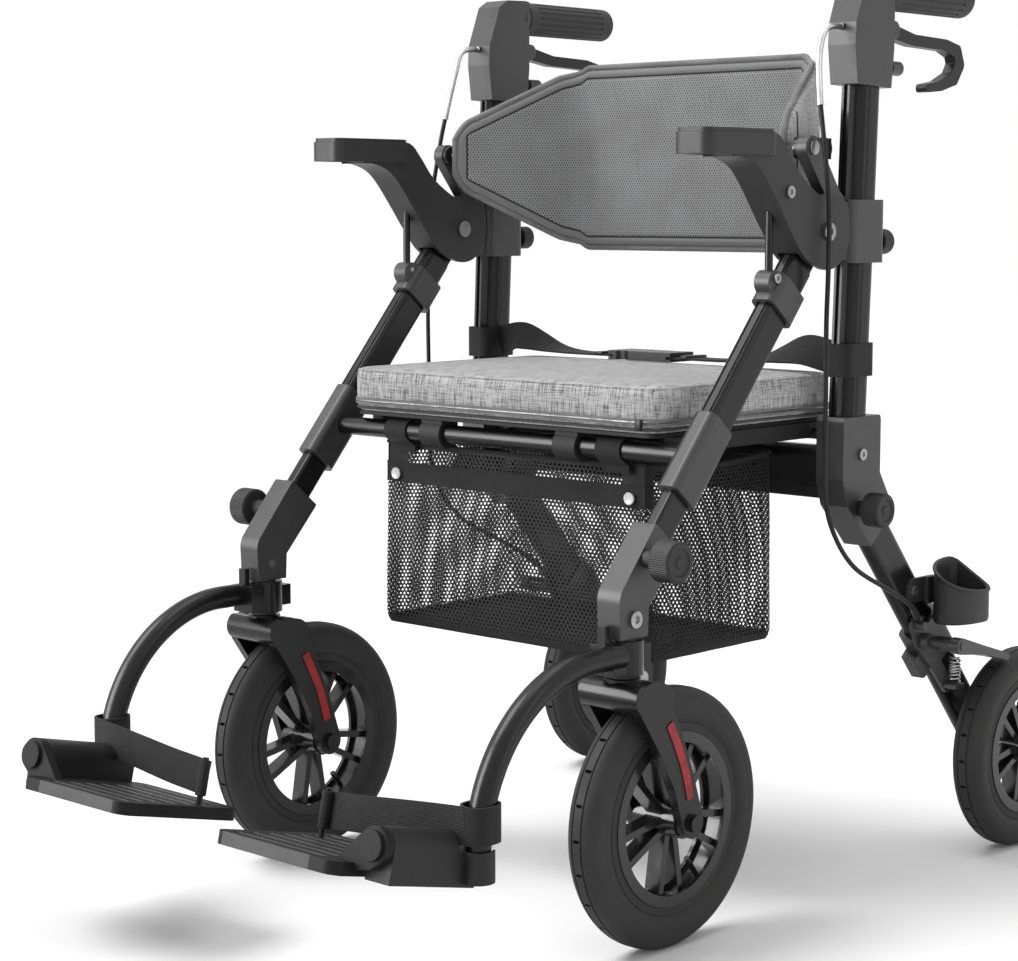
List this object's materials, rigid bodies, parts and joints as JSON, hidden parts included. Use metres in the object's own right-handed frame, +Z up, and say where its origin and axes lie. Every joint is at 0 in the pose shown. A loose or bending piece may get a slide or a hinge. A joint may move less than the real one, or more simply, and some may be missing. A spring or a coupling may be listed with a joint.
{
  "type": "rollator_transport_chair",
  "caption": "Folding four-wheel rollator and transport chair with padded seat, swing-over backrest, mesh basket, swing-away footrests and hand brakes.",
  "frame": {"origin": "Middle of the bounding box on the floor, midway between footplates and rear tyres.", "axes": "+Z up from the floor, -Y the way the occupant faces, +X the occupant's left."},
  "size_m": [0.641, 1.072, 0.946],
  "materials": {
    "frame_black": "satin",
    "casting_grey": "fine grain",
    "steel": "bright",
    "spring_steel": "bright",
    "cable_black": "satin",
    "webbing_black": "woven",
    "buckle_black": "satin",
    "mesh_black": "open net",
    "arm_black": "fine grain",
    "linen_grey": "heather weave",
    "spacer_grey": "spacer mesh",
    "board_black": "matte",
    "knob_black": "satin",
    "tyre_black": "matte",
    "rim_black": "gloss",
    "post_grey": "anodised",
    "grip_grey": "matte",
    "lever_black": "satin",
    "plate_black": "matte"
  },
  "bodies": {
    "rear_frame": {"uprights": "frame_black", "rear_castings": "casting_grey", "rear_legs": "frame_black", "rear_beam": "frame_black", "arm_brackets": "casting_grey", "brake_mounts": "casting_grey", "brake_cables": "cable_black", "brake_springs": "spring_steel", "cane_cup": "casting_grey", "lap_belt": "webbing_black", "belt_buckle": "buckle_black", "basket": "mesh_black", "rear_bolts": "steel"},
    "front_frame": {"front_struts": "frame_black", "front_inner_legs": "frame_black", "strut_clamps": "casting_grey", "front_castings": "casting_grey", "cross_tube": "frame_black", "armrests": "arm_black", "arm_links": "frame_black", "front_bolts": "steel"},
    "seat": {"seat_cushion": "linen_grey", "seat_board": "board_black", "seat_rails": "board_black"},
    "backrest": {"backrest_pad": "spacer_grey", "backrest_bar": "frame_black"},
    "caster_left": {"fork_left": "frame_black"},
    "front_wheel_left": {"front_tyre_left": "tyre_black", "front_rim_left": "rim_black"},
    "rear_wheel_left": {"rear_tyre_left": "tyre_black", "rear_rim_left": "rim_black"},
    "handle_left": {"handle_post_left": "post_grey", "handle_housing_left": "casting_grey", "grip_left": "grip_grey"},
    "lever_left": {"brake_lever_left": "lever_black"},
    "shoe_left": {"brake_shoe_left": "casting_grey"},
    "footrest_left": {"footrest_tube_left": "frame_black", "foot_block_left": "plate_black", "heel_strap_left": "webbing_black"},
    "footboard_left": {"footplate_left": "plate_black"},
    "front_screw_left": {"front_knob_left": "knob_black"},
    "rear_screw_left": {"rear_knob_left": "knob_black"},
    "height_screw_left": {"height_knob_left": "knob_black"},
    "caster_right": {"fork_right": "frame_black"},
    "front_wheel_right": {"front_tyre_right": "tyre_black", "front_rim_right": "rim_black"},
    "rear_wheel_right": {"rear_tyre_right": "tyre_black", "rear_rim_right": "rim_black"},
    "handle_right": {"handle_post_right": "post_grey", "handle_housing_right": "casting_grey", "grip_right": "grip_grey"},
    "lever_right": {"brake_lever_right": "lever_black"},
    "shoe_right": {"brake_shoe_right": "casting_grey"},
    "footrest_right": {"footrest_tube_right": "frame_black", "foot_block_right": "plate_black", "heel_strap_right": "webbing_black"},
    "footboard_right": {"footplate_right": "plate_black"},
    "front_screw_right": {"front_knob_right": "knob_black"},
    "rear_screw_right": {"rear_knob_right": "knob_black"},
    "height_screw_right": {"height_knob_right": "knob_black"}
  },
  "joints": [
    {"name": "fold", "type": "hinge", "parent": "rear_frame", "child": "front_frame", "pos_m": [0, 0.095, 0.683], "axis": [1, 0, 0], "range_deg": [0, 30], "deforming": ["basket", "lap_belt", "belt_buckle"]},
    {"name": "seat_flip", "type": "hinge", "parent": "front_frame", "child": "seat", "pos_m": [0, -0.08756, 0.47], "axis": [1, 0, 0], "range_deg": [0, 55.5]},
    {"name": "backrest_flip", "type": "hinge", "parent": "rear_frame", "child": "backrest", "pos_m": [0, 0.084, 0.766], "axis": [1, 0, 0], "range_deg": [0, 170]},
    {"name": "caster_swivel_left", "type": "hinge", "parent": "front_frame", "child": "caster_left", "pos_m": [0.254, -0.195, 0.29], "axis": [0, 0, 1], "continuous": true},
    {"name": "front_wheel_spin_left", "type": "hinge", "parent": "caster_left", "child": "front_wheel_left", "pos_m": [0.254, -0.133, 0.127], "axis": [1, 0, 0], "continuous": true},
    {"name": "rear_wheel_spin_left", "type": "hinge", "parent": "rear_frame", "child": "rear_wheel_left", "pos_m": [0.3025, 0.425, 0.111], "axis": [1, 0, 0], "continuous": true},
    {"name": "handle_slide_left", "type": "slide", "parent": "rear_frame", "child": "handle_left", "axis": [0, 0.0436, 0.999], "range_m": [0, 0.1], "deforming": ["brake_cables"]},
    {"name": "lever_squeeze_left", "type": "hinge", "parent": "handle_left", "child": "lever_left", "pos_m": [0.254, 0.215, 0.888], "axis": [1, 0, 0], "range_deg": [0, 9], "deforming": ["brake_springs"]},
    {"name": "shoe_press_left", "type": "hinge", "parent": "rear_frame", "child": "shoe_left", "pos_m": [0.29, 0.287, 0.243], "axis": [1, 0, 0], "range_deg": [-1.8, 0], "stiffness_Nm_per_rad": 2, "springref_deg": 5.73, "deforming": ["brake_springs"]},
    {"name": "footrest_swing_left", "type": "hinge", "parent": "front_frame", "child": "footrest_left", "pos_m": [0.254, -0.195, 0.29], "axis": [0, 0, 1], "range_deg": [0, 90]},
    {"name": "footplate_flip_left", "type": "hinge", "parent": "footrest_left", "child": "footboard_left", "pos_m": [0.243, -0.49379, 0.16853], "axis": [0, 0.9744, -0.225], "range_deg": [0, 90], "deforming": ["heel_strap_left"]},
    {"name": "front_knob_turn_left", "type": "hinge", "parent": "front_frame", "child": "front_screw_left", "pos_m": [0.268, -0.178, 0.383], "axis": [1, 0, 0], "range_deg": [0, 180]},
    {"name": "rear_knob_turn_left", "type": "hinge", "parent": "rear_frame", "child": "rear_screw_left", "pos_m": [0.271, 0.16, 0.399], "axis": [1, 0, 0], "range_deg": [0, 180]},
    {"name": "height_knob_turn_left", "type": "hinge", "parent": "rear_frame", "child": "height_screw_left", "pos_m": [0.254, 0.197, 0.672], "axis": [0, 1, 0], "range_deg": [0, 180]},
    {"name": "caster_swivel_right", "type": "hinge", "parent": "front_frame", "child": "caster_right", "pos_m": [-0.254, -0.195, 0.29], "axis": [0, 0, 1], "continuous": true},
    {"name": "front_wheel_spin_right", "type": "hinge", "parent": "caster_right", "child": "front_wheel_right", "pos_m": [-0.254, -0.133, 0.127], "axis": [1, 0, 0], "continuous": true},
    {"name": "rear_wheel_spin_right", "type": "hinge", "parent": "rear_frame", "child": "rear_wheel_right", "pos_m": [-0.3025, 0.425, 0.111], "axis": [1, 0, 0], "continuous": true},
    {"name": "handle_slide_right", "type": "slide", "parent": "rear_frame", "child": "handle_right", "axis": [0, 0.0436, 0.999], "range_m": [0, 0.1], "deforming": ["brake_cables"]},
    {"name": "lever_squeeze_right", "type": "hinge", "parent": "handle_right", "child": "lever_right", "pos_m": [-0.254, 0.215, 0.888], "axis": [1, 0, 0], "range_deg": [0, 9], "deforming": ["brake_springs"]},
    {"name": "shoe_press_right", "type": "hinge", "parent": "rear_frame", "child": "shoe_right", "pos_m": [-0.29, 0.287, 0.243], "axis": [1, 0, 0], "range_deg": [-1.8, 0], "stiffness_Nm_per_rad": 2, "springref_deg": 5.73, "deforming": ["brake_springs"]},
    {"name": "footrest_swing_right", "type": "hinge", "parent": "front_frame", "child": "footrest_right", "pos_m": [-0.254, -0.195, 0.29], "axis": [0, 0, -1], "range_deg": [0, 90]},
    {"name": "footplate_flip_right", "type": "hinge", "parent": "footrest_right", "child": "footboard_right", "pos_m": [-0.243, -0.49379, 0.16853], "axis": [0, -0.9744, 0.225], "range_deg": [0, 90], "deforming": ["heel_strap_right"]},
    {"name": "front_knob_turn_right", "type": "hinge", "parent": "front_frame", "child": "front_screw_right", "pos_m": [-0.268, -0.178, 0.383], "axis": [-1, 0, 0], "range_deg": [0, 180]},
    {"name": "rear_knob_turn_right", "type": "hinge", "parent": "rear_frame", "child": "rear_screw_right", "pos_m": [-0.271, 0.16, 0.399], "axis": [-1, 0, 0], "range_deg": [0, 180]},
    {"name": "height_knob_turn_right", "type": "hinge", "parent": "rear_frame", "child": "height_screw_right", "pos_m": [-0.254, 0.197, 0.672], "axis": [0, 1, 0], "range_deg": [0, 180]}
  ],
  "couplings": [
    {"joint": "seat_flip", "follows": "fold", "ratio": 1.85},
    {"joint": "shoe_press_left", "follows": "lever_squeeze_left", "ratio": -0.2},
    {"joint": "shoe_press_right", "follows": "lever_squeeze_right", "ratio": -0.2}
  ]
}
